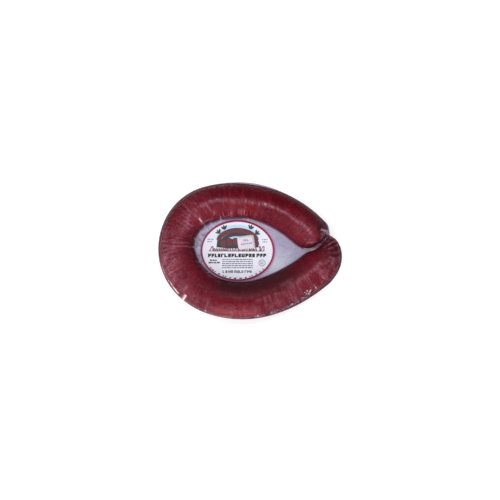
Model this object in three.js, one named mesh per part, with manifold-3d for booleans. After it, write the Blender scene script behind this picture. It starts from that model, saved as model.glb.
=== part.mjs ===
// A ring bologna in clear shrink film. A thick smoked sausage is bent into a ring, and its blunt end butts
// against the side of its tapered end. The film is skin tight on the meat, so its own solid is what stands
// clear of it: the sheet drawn across the hole, the tongue between the two ends and the narrow fin where the
// two layers meet round the outside. An oval label lies on the sheet, with a price sticker on the label.
//
// Millimetres, +Z up. The ring lies flat, and the origin is on the table under the middle of its box.

import * as THREE from "three";
import { mergeVertices } from "three/addons/utils/BufferGeometryUtils.js";
import Module from "manifold-3d";

const { degToRad, clamp, smoothstep } = THREE.MathUtils;

// ---- Sausage ----
const BODY_RADIUS = 21.7;
const FLAT_DEPTH = 0.8; // how far the weight presses the underside flat
const START = { x: 81.5, y: 7.8, heading: 125.6 }; // middle of the blunt end, degrees from +X
const BENDS = [
  // the centre line as arcs, from the blunt end anticlockwise to the tapered end
  { name: "upper arm", radius: 124, sweep: 51 },
  { name: "upper shoulder", radius: 108, sweep: 20 },
  { name: "far bend", radius: 53, sweep: 94 },
  { name: "lower shoulder", radius: 68, sweep: 52 },
  { name: "belly", radius: 99, sweep: 35.5 },
  { name: "lower arm", radius: 176, sweep: 24.5 },
  { name: "tapered end", radius: 31, sweep: 68.5 },
];
const BLUNT_END = { length: 33, squareness: 3.2, fullness: 0.34 };
const TAPERED_END = { length: 44, squareness: 1.3, fullness: 0.62 };
const SWELLS = [
  // where the meat is thinner or fuller along the ring
  { name: "upper arm", at: 100, spread: 28, by: -1.5 },
  { name: "far bend", at: 205, spread: 22, by: -1.5 },
  { name: "belly", at: 300, spread: 30, by: -0.5 },
  { name: "lower arm", at: 400, spread: 40, by: 0.3 },
];
const PLEATS = { count: 9, depth: 0.045, reach: 26 }; // gathers of the casing at both ends
const SECTION_POINTS = 28;
const STATION_STEP = 5.5;
const END_STATIONS = 12;
const END_CROWDING = 1.7; // 1 spaces them evenly, and more crowds them towards the end
const CLOSEST_STATIONS = 1.2;
const MEAT_PHASE = 0.35;
const FILM_PHASE = 0.85;

// ---- Film ----
const FIT_GAP = 0.3; // clearance of everything that touches the meat or lies on the sheet
const SHEET_THICKNESS = 0.9;
const SHEET_HEIGHT = 20.3; // middle of the sheet and of the fin
const FILLET = { width: 4.6, height: 2.4, taper: 0.6 }; // where the layers part to climb the meat
const FIN = { width: 0.9, height: 0.9, taper: 0.6 };
const FIN_FLARES = [
  // where the fin is wider
  { name: "notch", at: 10, spread: 5, by: 1.8 },
  { name: "upper arm", at: 96, spread: 20, by: 2 },
  { name: "lower shoulder", at: 252, spread: 18, by: 0.6 },
  { name: "lower arm", at: 375, spread: 20, by: 0.7 },
];
const BURIED = 0.9; // share of the meat's radius at which the fillets start, inside the meat
const END_SHARE = 0.5; // the fillets stay under this share of the radius where the ends close
const SHEET_REACH = 0.8; // share of the meat's radius at which the sheet ends, inside the meat
const NOTCH_CORNER = 7; // where the sheet leaves the blunt end to cross the notch, along the ring
const SLIVER = 0.02; // edges shorter than this are merged
const FOLDS = [
  // pinched folds that climb the meat from the hole's edge: place along the ring and how high
  { at: 133, height: 5 },
  { at: 155, height: 5.5 },
  { at: 181, height: 6 },
  { at: 203, height: 8 },
  { at: 226, height: 5 },
  { at: 249, height: 5 },
];
const FOLD_HALF_WIDTH = 2.2;

// ---- Label and price sticker ----
// Squareness is the exponent of the outline: 2 is an ellipse.
const LABEL = { x: -14.7, y: -0.6, halfLength: 43.7, halfWidth: 36.6, thickness: 0.35, squareness: 2 };
const LABEL_RISE = 1.9; // how far its long edges ride up where the film climbs the meat
const STICKER = { x: -4.6, y: 9.4, halfLength: 10, halfWidth: 8, thickness: 0.25, squareness: 7 };
const STICKER_TURN = 8;
const LABEL_MESH = { rings: 5, around: 56 };
const STICKER_MESH = { rings: 1, around: 36 };

const bendLength = ({ radius, sweep }) => Math.abs(radius) * degToRad(sweep);
const RING_LENGTH = BENDS.reduce((sum, bend) => sum + bendLength(bend), 0);

// Point of the centre line at a distance from the blunt end, with its heading.
function centreLine(distance) {
  let { x, y } = START;
  let heading = degToRad(START.heading);
  let left = distance;
  for (const bend of BENDS) {
    const step = bend === BENDS.at(-1) ? left : Math.min(left, bendLength(bend));
    const turned = heading + step / bend.radius;
    x += bend.radius * (Math.sin(turned) - Math.sin(heading));
    y -= bend.radius * (Math.cos(turned) - Math.cos(heading));
    heading = turned;
    left -= step;
  }
  return { x, y, heading };
}

// A point beside the centre line: inwards of the ring is positive.
function beside(distance, inwards, z) {
  const { x, y, heading } = centreLine(distance);
  return new THREE.Vector3(x - Math.sin(heading) * inwards, y + Math.cos(heading) * inwards, z);
}

const bell = (offset, spread) => Math.exp(-0.5 * (offset / spread) ** 2);

const swelling = (base, places, distance) =>
  places.reduce((sum, { at, spread, by }) => sum + by * bell(distance - at, spread), base);

const bodyRadius = (distance) => swelling(BODY_RADIUS, SWELLS, distance);

function endRounding(fromEnd, { length, squareness, fullness }) {
  const short = 1 - clamp(fromEnd / length, 0, 1);
  return (1 - short ** squareness) ** fullness;
}

function meatRadius(distance) {
  const blunt = endRounding(distance, BLUNT_END);
  const tapered = endRounding(RING_LENGTH - distance, TAPERED_END);
  return bodyRadius(distance) * blunt * tapered;
}

const meatHeight = (distance) => bodyRadius(distance) - FLAT_DEPTH;

// Stations along the ring: evenly spaced on the body and closer together towards both ends. The phase is the
// share of a step by which they're moved on, so that the film's stations fall between those of the meat.
function stations(phase, extra = []) {
  const found = [];
  for (let i = 0; i < END_STATIONS; i += 1) {
    const share = ((i + phase) / END_STATIONS) ** END_CROWDING;
    found.push(BLUNT_END.length * share, RING_LENGTH - TAPERED_END.length * share);
  }
  const first = BLUNT_END.length;
  const body = RING_LENGTH - TAPERED_END.length - first;
  const steps = Math.round(body / STATION_STEP);
  for (let i = 0; i < steps; i += 1) found.push(first + (body * (i + phase)) / steps);
  const kept = found.filter((place) => extra.every((other) => Math.abs(place - other) > CLOSEST_STATIONS));
  return [...kept, ...extra].sort((a, b) => a - b);
}

// Closed solid through one outline per station, each a list of [inwards, z], closed by a fan at each end.
// Stations near both ends can be moved outwards, by up to `longer` at the very ends.
function sweep(along, outlineAt, longer) {
  const rings = along.map((distance) => {
    const outwards = clamp((RING_LENGTH - distance) / TAPERED_END.length, 0, 1);
    const backwards = clamp(distance / BLUNT_END.length, 0, 1);
    const place = distance + longer * (backwards - outwards);
    return outlineAt(distance).map(([u, z]) => beside(place, u, z));
  });
  const count = rings[0].length;
  const points = rings.flat();
  const index = [];
  for (let ring = 0; ring < rings.length - 1; ring += 1) {
    for (let i = 0; i < count; i += 1) {
      const a = ring * count + i;
      const b = ring * count + ((i + 1) % count);
      index.push(a, b, a + count, b, b + count, a + count);
    }
  }
  for (const [ring, flip] of [[0, false], [rings.length - 1, true]]) {
    const middle = points.length;
    const sum = rings[ring].reduce((total, p) => total.add(p), new THREE.Vector3());
    points.push(sum.divideScalar(count));
    for (let i = 0; i < count; i += 1) {
      const a = ring * count + i;
      const b = ring * count + ((i + 1) % count);
      index.push(...(flip ? [middle, a, b] : [middle, b, a]));
    }
  }
  return new THREE.BufferGeometry().setFromPoints(points).setIndex(index);
}

// Section of the meat, grown all round by a gap where something else has to clear it.
function meatOutline(distance, grow) {
  const radius = meatRadius(distance);
  const fromEnd = Math.min(distance, RING_LENGTH - distance);
  const gather = PLEATS.depth * (1 - smoothstep(fromEnd, 0, PLEATS.reach));
  const outline = [];
  for (let i = 0; i < SECTION_POINTS; i += 1) {
    const angle = (2 * Math.PI * i) / SECTION_POINTS;
    const size = radius * (1 + gather * Math.cos(PLEATS.count * angle)) + grow;
    const z = meatHeight(distance) + size * Math.sin(angle);
    outline.push([size * Math.cos(angle), Math.max(z, -grow)]);
  }
  return outline;
}

const finWidth = (distance) => swelling(FIN.width, FIN_FLARES, distance);

// How high a fold lifts the film at this place, over the plain fillet.
function foldLift(distance) {
  return FOLDS.reduce((most, fold) => {
    const share = 1 - Math.abs(distance - fold.at) / FOLD_HALF_WIDTH;
    return Math.max(most, (fold.height - FILLET.height) * clamp(share, 0, 1));
  }, 0);
}

// Section of the film where it leaves the meat: thick against the meat, thin at the fin and at the sheet.
function filletOutline(distance) {
  const radius = meatRadius(distance);
  const thin = SHEET_THICKNESS / 2;
  const inner = Math.min(FILLET.height + foldLift(distance), radius * END_SHARE);
  const outer = Math.min(FIN.height, radius * END_SHARE);
  const fin = radius + finWidth(distance);
  const high = (lift) => SHEET_HEIGHT + lift;
  return [
    [radius + FILLET.width, high(-thin * FILLET.taper)],
    [radius + FILLET.width, high(thin * FILLET.taper)],
    [radius * BURIED, high(inner)],
    [-radius * BURIED, high(outer)],
    [-fin, high(thin * FIN.taper)],
    [-fin, high(-thin * FIN.taper)],
    [-radius * BURIED, high(-outer)],
    [radius * BURIED, high(-inner)],
  ];
}

// Flat sheet with its edge inside the meat. Its last side crosses the notch between the two ends.
function sheetGeometry() {
  const edge = stations(MEAT_PHASE)
    .filter((distance) => distance >= NOTCH_CORNER)
    .map((distance) => beside(distance, -meatRadius(distance) * SHEET_REACH, 0));
  const shape = new THREE.Shape(edge.map((p) => new THREE.Vector2(p.x, p.y)));
  const sheet = new THREE.ExtrudeGeometry(shape, { depth: SHEET_THICKNESS, bevelEnabled: false });
  return sheet.translate(0, 0, SHEET_HEIGHT - SHEET_THICKNESS / 2);
}

// Thin closed solid over an oval or squarish outline. Its height follows a rule, top and bottom alike.
function leafGeometry({ halfLength, halfWidth, thickness, squareness }, { rings, around }, heightAt) {
  const points = [new THREE.Vector3(0, 0, heightAt(0, 0))];
  for (let ring = 1; ring <= rings; ring += 1) {
    for (let i = 0; i < around; i += 1) {
      const angle = (2 * Math.PI * i) / around;
      const [c, s] = [Math.cos(angle), Math.sin(angle)];
      const reach = (Math.abs(c) ** squareness + Math.abs(s) ** squareness) ** (-1 / squareness);
      const x = (halfLength * reach * c * ring) / rings;
      const y = (halfWidth * reach * s * ring) / rings;
      points.push(new THREE.Vector3(x, y, heightAt(x, y)));
    }
  }
  const top = points.map((p) => p.clone().setZ(p.z + thickness));
  const at = (ring, i) => (ring ? 1 + (ring - 1) * around + (i % around) : 0);
  const faces = [];
  for (let ring = 0; ring < rings; ring += 1) {
    for (let i = 0; i < around; i += 1) {
      const [a, b] = [at(ring + 1, i), at(ring + 1, i + 1)];
      faces.push([at(ring, i), a, b]);
      if (ring) faces.push([at(ring, i), b, at(ring, i + 1)]);
    }
  }
  const count = points.length;
  const index = faces.flatMap(([a, b, c]) => [a, c, b, a + count, b + count, c + count]);
  for (let i = 0; i < around; i += 1) {
    const [a, b] = [at(rings, i), at(rings, i + 1)];
    index.push(a, b, b + count, a, b + count, a + count);
  }
  return new THREE.BufferGeometry().setFromPoints([...points, ...top]).setIndex(index);
}

// ---- Solids ----
const wasm = await Module();
wasm.setup();

function solidOf(geometry) {
  const bare = geometry.clone();
  bare.deleteAttribute("normal");
  bare.deleteAttribute("uv");
  const merged = mergeVertices(bare, 1e-4);
  return new wasm.Manifold(
    new wasm.Mesh({
      numProp: 3,
      vertProperties: merged.attributes.position.array,
      triVerts: new Uint32Array(merged.index.array),
    }),
  );
}

function geometryOf(solid) {
  const { vertProperties, triVerts } = solid.getMesh();
  return new THREE.BufferGeometry()
    .setAttribute("position", new THREE.BufferAttribute(vertProperties, 3))
    .setIndex(new THREE.BufferAttribute(triVerts, 1));
}

function largestBody(solid) {
  return solid.decompose().reduce((best, body) => (body.volume() > best.volume() ? body : best));
}

// The ring's two ends meet, so what is swept round it can overlap itself: it's made in halves and joined.
function sweptSolid(along, outlineAt, longer) {
  const half = Math.floor(along.length / 2);
  const halves = [along.slice(0, half + 1), along.slice(half)];
  const [first, second] = halves.map((part) => solidOf(sweep(part, outlineAt, longer)));
  return first.add(second);
}

function filmGeometry() {
  const foldPlaces = FOLDS.flatMap(({ at }) => [at - FOLD_HALF_WIDTH, at, at + FOLD_HALF_WIDTH]);
  const fillets = sweptSolid(stations(FILM_PHASE, foldPlaces), filletOutline, 0);
  const grown = (distance) => meatOutline(distance, FIT_GAP);
  const clearance = sweptSolid(stations(MEAT_PHASE), grown, FIT_GAP);
  const film = solidOf(sheetGeometry()).add(fillets).subtract(clearance);
  return geometryOf(largestBody(film.simplify(SLIVER)));
}

function labelHeight(x, y) {
  const above = SHEET_HEIGHT + SHEET_THICKNESS / 2 + FIT_GAP;
  return above + LABEL_RISE * (y / LABEL.halfWidth) ** 6;
}

const bologna = new THREE.Mesh(
  sweep(stations(MEAT_PHASE), (distance) => meatOutline(distance, 0), 0),
  new THREE.MeshStandardMaterial({ color: "#6b1a22", roughness: 0.35 }),
);
bologna.name = "bologna";

const film = new THREE.Mesh(
  filmGeometry(),
  new THREE.MeshStandardMaterial({ color: "#c9c6d6", roughness: 0.15, transparent: true, opacity: 0.4 }),
);
film.name = "film";

const label = new THREE.Mesh(
  leafGeometry(LABEL, LABEL_MESH, labelHeight),
  new THREE.MeshStandardMaterial({ color: "#eceef4", roughness: 0.45 }),
);
label.name = "label";
label.position.set(LABEL.x, LABEL.y, 0);

const sticker = new THREE.Mesh(
  leafGeometry(STICKER, STICKER_MESH, () => 0),
  new THREE.MeshStandardMaterial({ color: "#e9e9f2", roughness: 0.6 }),
);
sticker.name = "price_sticker";
sticker.position.set(STICKER.x, STICKER.y, labelHeight(0, 0) + LABEL.thickness + FIT_GAP);
sticker.rotation.z = degToRad(STICKER_TURN);

const wrappedRing = new THREE.Group();
wrappedRing.add(bologna, film, label, sticker);

export default wrappedRing;
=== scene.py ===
import math
import random

import bmesh
import bpy
import numpy as np
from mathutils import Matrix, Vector


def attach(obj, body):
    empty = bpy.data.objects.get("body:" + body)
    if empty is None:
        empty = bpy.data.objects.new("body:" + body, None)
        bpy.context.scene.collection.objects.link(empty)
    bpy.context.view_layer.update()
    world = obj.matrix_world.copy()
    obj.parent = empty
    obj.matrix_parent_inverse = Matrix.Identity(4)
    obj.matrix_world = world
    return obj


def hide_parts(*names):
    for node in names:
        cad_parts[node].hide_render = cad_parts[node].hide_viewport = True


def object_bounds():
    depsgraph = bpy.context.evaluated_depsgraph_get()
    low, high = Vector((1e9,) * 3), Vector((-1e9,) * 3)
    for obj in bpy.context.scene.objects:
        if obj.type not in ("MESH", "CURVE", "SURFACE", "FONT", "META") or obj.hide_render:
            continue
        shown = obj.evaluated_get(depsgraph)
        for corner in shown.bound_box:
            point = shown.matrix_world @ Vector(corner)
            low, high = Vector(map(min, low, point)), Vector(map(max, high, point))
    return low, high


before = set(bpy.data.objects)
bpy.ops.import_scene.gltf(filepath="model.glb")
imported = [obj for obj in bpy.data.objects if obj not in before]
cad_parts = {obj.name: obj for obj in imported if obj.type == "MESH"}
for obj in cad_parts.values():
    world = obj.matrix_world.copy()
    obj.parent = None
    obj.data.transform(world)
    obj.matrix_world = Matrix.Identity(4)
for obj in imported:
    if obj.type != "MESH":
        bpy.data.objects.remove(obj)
CAD_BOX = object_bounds()
MM = 0.001

# ---- the ring's form, as in the solids (mm)

START = (81.5, 7.8, 125.6)  # x and y of the centre line at the blunt end, and its heading in degrees
BENDS = [  # radius and sweep of each arc, from the blunt end to the tapered end
    (124, 51),
    (108, 20),
    (53, 94),
    (68, 52),
    (99, 35.5),
    (176, 24.5),
    (31, 68.5),
]
BODY_RADIUS = 21.7
FLAT_DEPTH = 0.8  # how far the underside is pressed flat
BLUNT = (33, 3.2, 0.34)  # rounding of an end: its length, squareness and fullness
TAPER = (44, 1.3, 0.62)
SWELLS = [(100, 28, -1.5), (205, 22, -1.5), (300, 30, -0.5), (400, 40, 0.3)]  # place, spread, change
FIN = 0.9  # how far the film stands out beyond the meat
FIN_FLARES = [(10, 5, 1.8), (96, 20, 2.0), (252, 18, 0.6), (375, 20, 0.7)]
SHEET_Z = 20.3  # middle of the sheet's thickness
SHEET_HALF = 0.42  # half its thickness
NOTCH_CORNER = 7  # where the sheet's outline starts, at the gap between the ends


def bell(distance, width):
    return np.exp(-0.5 * (distance / width) ** 2)


def fade(value, low, high):
    t = np.clip((value - low) / (high - low), 0, 1)
    return t * t * (3 - 2 * t)


def centre_line(step):
    """Points x, y and heading along the ring, with the distance from the blunt end."""
    x, y, heading = START[0], START[1], math.radians(START[2])
    rows, run = [], 0.0
    for radius, sweep in BENDS:
        bend = math.radians(sweep)
        count = max(2, round(radius * bend / step))
        for i in range(count + 1):
            turned = heading + bend * i / count
            px = x + radius * (math.sin(turned) - math.sin(heading))
            py = y - radius * (math.cos(turned) - math.cos(heading))
            rows.append((px, py, turned, run + radius * bend * i / count))
        x, y, heading, run = rows.pop()
    rows.append((x, y, heading, run))
    return np.array(rows)


LINE = centre_line(0.5)
LENGTH = LINE[-1, 3]


def swelling(base, places, s):
    total = np.full_like(s, base, dtype=float)
    for at, spread, by in places:
        total += by * bell(s - at, spread)
    return total


def body_radius(s):
    return swelling(BODY_RADIUS, SWELLS, s)


def end_rounding(from_end, form):
    length, squareness, fullness = form
    short = 1 - np.clip(from_end / length, 0, 1)
    return (1 - short**squareness) ** fullness


def meat_radius(s):
    return body_radius(s) * end_rounding(s, BLUNT) * end_rounding(LENGTH - s, TAPER)


def line_at(s):
    return [np.interp(s, LINE[:, 3], LINE[:, k]) for k in range(3)]


def beside_line(s, inwards):
    """Plan position of places along the ring and inwards of its centre line."""
    x, y, heading = line_at(s)
    return x - np.sin(heading) * inwards, y + np.cos(heading) * inwards


class Grid:
    """Values worked out once on a square grid over the ring's plan, then read back by place."""

    STEP = 0.5
    LOW = np.array([-114.0, -88.0])
    COUNT = np.array([457, 353])

    def __init__(self, value_at):
        xs, ys = (low + self.STEP * np.arange(count) for low, count in zip(self.LOW, self.COUNT))
        places = np.stack(np.meshgrid(xs, ys, indexing="ij"), axis=2).reshape(-1, 2)
        self.values = value_at(places).reshape(self.COUNT)

    def cell(self, xy):
        return np.clip((xy - self.LOW) / self.STEP, 0, self.COUNT - 1.001)

    def closest(self, xy):
        cell = np.round(self.cell(xy)).astype(int)
        return self.values[cell[:, 0], cell[:, 1]]

    def smooth(self, xy):
        cell = self.cell(xy)
        i, j = cell.astype(int).T
        a, b = (cell - cell.astype(int)).T
        v = self.values
        near = v[i, j] * (1 - b) + v[i, j + 1] * b
        far = v[i + 1, j] * (1 - b) + v[i + 1, j + 1] * b
        return near * (1 - a) + far * a


def nearest_rows(line):
    """The row of a stretch of the centre line that lies nearest to each place."""
    cx, cy = line[:, 0].astype(np.float32), line[:, 1].astype(np.float32)
    batch = 20000  # places at a time, to spare memory

    def rows(xy):
        p = xy.astype(np.float32)
        index = np.empty(len(p), dtype=int)
        for a in range(0, len(p), batch):
            q = p[a : a + batch]
            index[a : a + batch] = ((q[:, :1] - cx) ** 2 + (q[:, 1:2] - cy) ** 2).argmin(1)
        return index

    return rows


HALF = len(LINE) // 2
ARMS = [(arm, Grid(nearest_rows(arm))) for arm in (LINE[:HALF], LINE[HALF:])]


def on_ring(points):
    """Distance along the ring, how far inwards of its centre line, and distance from the meat's surface."""
    found = []
    for (arm, rows), inner in zip(ARMS, (1, -1)):
        row = arm[rows.closest(points[:, :2])]
        dx, dy = points[:, 0] - row[:, 0], points[:, 1] - row[:, 1]
        cos, sin = np.cos(row[:, 2]), np.sin(row[:, 2])
        s = row[:, 3] + dx * cos + dy * sin
        u = dy * cos - dx * sin
        beyond = inner * (s - LINE[HALF, 3]) > 1
        found.append((s, u, np.where(beyond, 1e3, tube_value(s, u, points[:, 2]))))
    upper = found[0][2] < found[1][2]
    return [np.where(upper, one, other) for one, other in zip(*found)]


def tube_value(s, u, z):
    """First-order distance to the meat's surface, positive outside."""
    inside = np.clip(s, 0, LENGTH)
    full = body_radius(inside)
    rho = np.sqrt(u**2 + (z - (full - FLAT_DEPTH)) ** 2) + 1e-6
    value = rho - full
    for from_end, (length, squareness, fullness) in ((s, BLUNT), (LENGTH - s, TAPER)):
        near = from_end < length
        power = 1 / fullness
        short = np.clip(1 - from_end / length, 0, None)
        g = (rho / full) ** power + short**squareness - 1
        g_rho = power * (rho / full) ** (power - 1) / full
        g_end = squareness * np.maximum(short, 1e-3) ** (squareness - 1) / length
        value = np.where(near, g / np.sqrt(g_rho**2 + g_end**2 + 1e-8), value)
    return value


def sheet_outline():
    s = np.linspace(NOTCH_CORNER, LENGTH - 0.2, 420)
    out = meat_radius(s) + swelling(FIN, FIN_FLARES, s)
    return np.column_stack(beside_line(s, -out))


OUTLINE = sheet_outline()


def outline_distance(xy):
    """Signed distance to the sheet's outline, positive outside."""
    a, b = OUTLINE, np.roll(OUTLINE, -1, axis=0)
    ab = b - a
    best = np.full(len(xy), 1e9)
    inside = np.zeros(len(xy), dtype=bool)
    for k in range(len(a)):
        ap = xy - a[k]
        t = np.clip((ap @ ab[k]) / (ab[k] @ ab[k] + 1e-12), 0, 1)
        best = np.minimum(best, ((ap - t[:, None] * ab[k]) ** 2).sum(1))
        crosses = (a[k, 1] > xy[:, 1]) != (b[k, 1] > xy[:, 1])
        at = a[k, 0] + (xy[:, 1] - a[k, 1]) * ab[k, 0] / (ab[k, 1] if ab[k, 1] else 1e-12)
        inside ^= crosses & (xy[:, 0] < at)
    return np.where(inside, -1, 1) * np.sqrt(best)


SHEET_EDGE = Grid(outline_distance)


INNER_FILLET = 2.6  # how widely the skin runs out into the sheet, inside and outside the ring
OUTER_FILLET = 0.8
BLUNT_FILLET = 4.5  # more of it round the blunt end
MAIN_CLIMB = 4.5
PLEATS = [  # distance along the ring, how far the pleat climbs, its half width
    (97, 2, 1.6),
    (137, 4.5, 1.3),
    (155, 2.5, 1),
    (168, 4.5, 1.3),
    (181, 2, 1),
    (201, 4.5, 1.3),
    (218, 6.5, 1.5),
    (248, 4, 1.3),
    (272, 3.5, 1.2),
]


def pleat_share(s, u):
    """How far the web is drawn up the meat's flank at each place, in small spikes."""
    drawn = np.zeros_like(s)
    for at, climb, width in PLEATS:
        drawn += climb / MAIN_CLIMB * np.exp(-np.abs(s - at) / width)
    return drawn * fade(u, 16.5, 21)


def sag(s):
    """Between the pleats round the hole, the dark seam of painted shade reaches further into the web."""
    reach = 1.5 * fade(s, 97, 112) * fade(280 - s, 0, 15)
    for at, _, _ in PLEATS:
        reach = reach * (1 - np.exp(-np.abs(s - at) / 5))
    return reach


def film_value(p):
    """Distance to the film: skin tight on the meat, with a fillet where it runs out into the sheet."""
    s, u, tube = on_ring(p)
    plate = np.maximum(np.abs(p[:, 2] - SHEET_Z) - SHEET_HALF, SHEET_EDGE.smooth(p[:, :2]))
    blend = np.where(u > 0, INNER_FILLET, OUTER_FILLET + BLUNT_FILLET * fade(20 - s, 0, 12))
    for at, climb, width in PLEATS:
        blend = blend + np.where(u > 0, climb, 0) * np.exp(-np.abs(s - at) / width)
    h = np.clip(0.5 + 0.5 * (plate - tube) / blend, 0, 1)
    return plate * (1 - h) + tube * h - blend * h * (1 - h)


# ---- helpers


def new_object(name, mesh, material=None):
    obj = bpy.data.objects.new(name, mesh)
    bpy.context.scene.collection.objects.link(obj)
    if material:
        mesh.materials.append(material)
    return obj


def mesh_from(name, points, faces, smooth=True):
    mesh = bpy.data.meshes.new(name)
    mesh.from_pydata([tuple(c * MM for c in p) for p in points], [], [tuple(map(int, f)) for f in faces])
    mesh.polygons.foreach_set("use_smooth", [smooth] * len(mesh.polygons))
    mesh.update()
    return mesh


def sweep_faces(rows, around):
    """Faces of a closed sweep: quads between its rows of points, and a cap at each end."""
    faces = []
    for row in range(rows - 1):
        for i in range(around):
            a, b = row * around + i, row * around + (i + 1) % around
            faces.append((a, b, b + around, a + around))
    faces.append(tuple(range(around))[::-1])
    faces.append(tuple(range((rows - 1) * around, rows * around)))
    return faces


def tube_mesh(inset, step, around):
    """The meat's surface as a closed sweep, moved inwards by an inset."""
    count = int(LENGTH / step)
    t = np.linspace(0, 1, count)
    crowded = 0.5 - 0.5 * np.cos(np.pi * t)  # closer together towards the ends
    s = LENGTH * (0.72 * t + 0.28 * crowded)
    s[0], s[-1] = 0.02, LENGTH - 0.02
    radius = np.maximum(meat_radius(s) - inset, 0.05)
    height = body_radius(s) - FLAT_DEPTH
    angle = np.linspace(0, 2 * np.pi, around, endpoint=False)
    u = radius[:, None] * np.cos(angle)
    z = np.maximum(height[:, None] + radius[:, None] * np.sin(angle), inset)
    points = np.stack([*beside_line(s[:, None], u), z], axis=2).reshape(-1, 3)
    ring = np.c_[np.repeat(s, around), u.ravel(), (z - height[:, None]).ravel()]
    return points, sweep_faces(count, around), ring


def store(mesh, name, rows):
    """Keep three numbers at each point of a mesh, for its material to read."""
    attribute = mesh.attributes.new(name, "FLOAT_VECTOR", "POINT")
    attribute.data.foreach_set("vector", rows.astype(np.float32).ravel())


# ---- materials

CLEAR_GLOSS = 0.18  # share of the film that mirrors light where it is clean and clear
FILM_SHARES = ("pink", "squeeze_shade", "sheen", "edge", "ridge_glints")  # what the film's mesh keeps for its material


class Nodes:
    """A material's node tree, with short calls for the nodes it uses."""

    def __init__(self, name):
        self.material = bpy.data.materials.new(name)
        self.material.use_nodes = True
        self.tree = self.material.node_tree
        self.shader = self.tree.nodes["Principled BSDF"]

    def put(self, socket, value):
        if isinstance(value, bpy.types.NodeSocket):
            self.tree.links.new(value, socket)
        else:
            socket.default_value = value

    def add(self, kind, inputs, **settings):
        """A new node, with its inputs by name or number."""
        node = self.tree.nodes.new("ShaderNode" + kind)
        for key, value in settings.items():
            setattr(node, key, value)
        for key, value in inputs.items():
            self.put(node.inputs[key], value)
        return node

    def surface(self, inputs):
        """Set inputs of the main shader by name, and give the material."""
        for name, value in inputs.items():
            self.put(self.shader.inputs[name], value)
        return self.material

    def math(self, operation, a, b=0.0):
        return self.add("Math", {0: a, 1: b}, operation=operation).outputs[0]

    def times(self, value, *factors):
        for factor in factors:
            value = self.math("MULTIPLY", value, factor)
        return value

    def plus(self, value, *others):
        for other in others:
            value = self.math("ADD", value, other)
        return value

    def mix(self, factor, a, b):
        return self.add("Mix", {0: factor, 6: a, 7: b}, data_type="RGBA").outputs[2]

    def ramp(self, value, low, high, out_low=0.0, out_high=1.0):
        inputs = {"Value": value, "From Min": low, "From Max": high, "To Min": out_low, "To Max": out_high}
        return self.add("MapRange", inputs, interpolation_type="SMOOTHSTEP").outputs[0]

    def between(self, value, low, rise, fall, high):
        """One from rise to fall, running out to nothing at low and high."""
        return self.times(self.ramp(value, low, rise), self.ramp(value, high, fall))

    def scaled(self, vector, scale):
        return self.add("VectorMath", {0: vector, 1: scale}, operation="MULTIPLY").outputs[0]

    def noise(self, vector, scale, detail=3.0, roughness=0.5, distortion=0.0):
        """Noise of one scale, or of a scale for each axis."""
        if isinstance(scale, tuple):
            vector, scale = self.scaled(vector, scale), 1.0
        inputs = {"Vector": vector, "Scale": scale, "Detail": detail, "Roughness": roughness}
        return self.add("TexNoise", {**inputs, "Distortion": distortion}).outputs[0]

    def bump(self, height, strength, distance, normal=None):
        inputs = {"Height": height, "Strength": strength, "Distance": distance}
        if normal is not None:
            inputs["Normal"] = normal
        return self.add("Bump", inputs).outputs[0]

    def stored(self, name, output="Fac"):
        """What a mesh keeps at its points under a name."""
        return self.add("Attribute", {}, attribute_name=name).outputs[output]

    def split(self, vector):
        return self.add("SeparateXYZ", {0: vector}).outputs

    def object_place(self):
        return self.add("TexCoord", {}).outputs["Object"]


def srgb(r, g, b, a=1.0):
    """Linear colour of an 8-bit display colour."""
    def one(c):
        c /= 255
        return c / 12.92 if c <= 0.04045 else ((c + 0.055) / 1.055) ** 2.4
    return (one(r), one(g), one(b), a)


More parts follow.
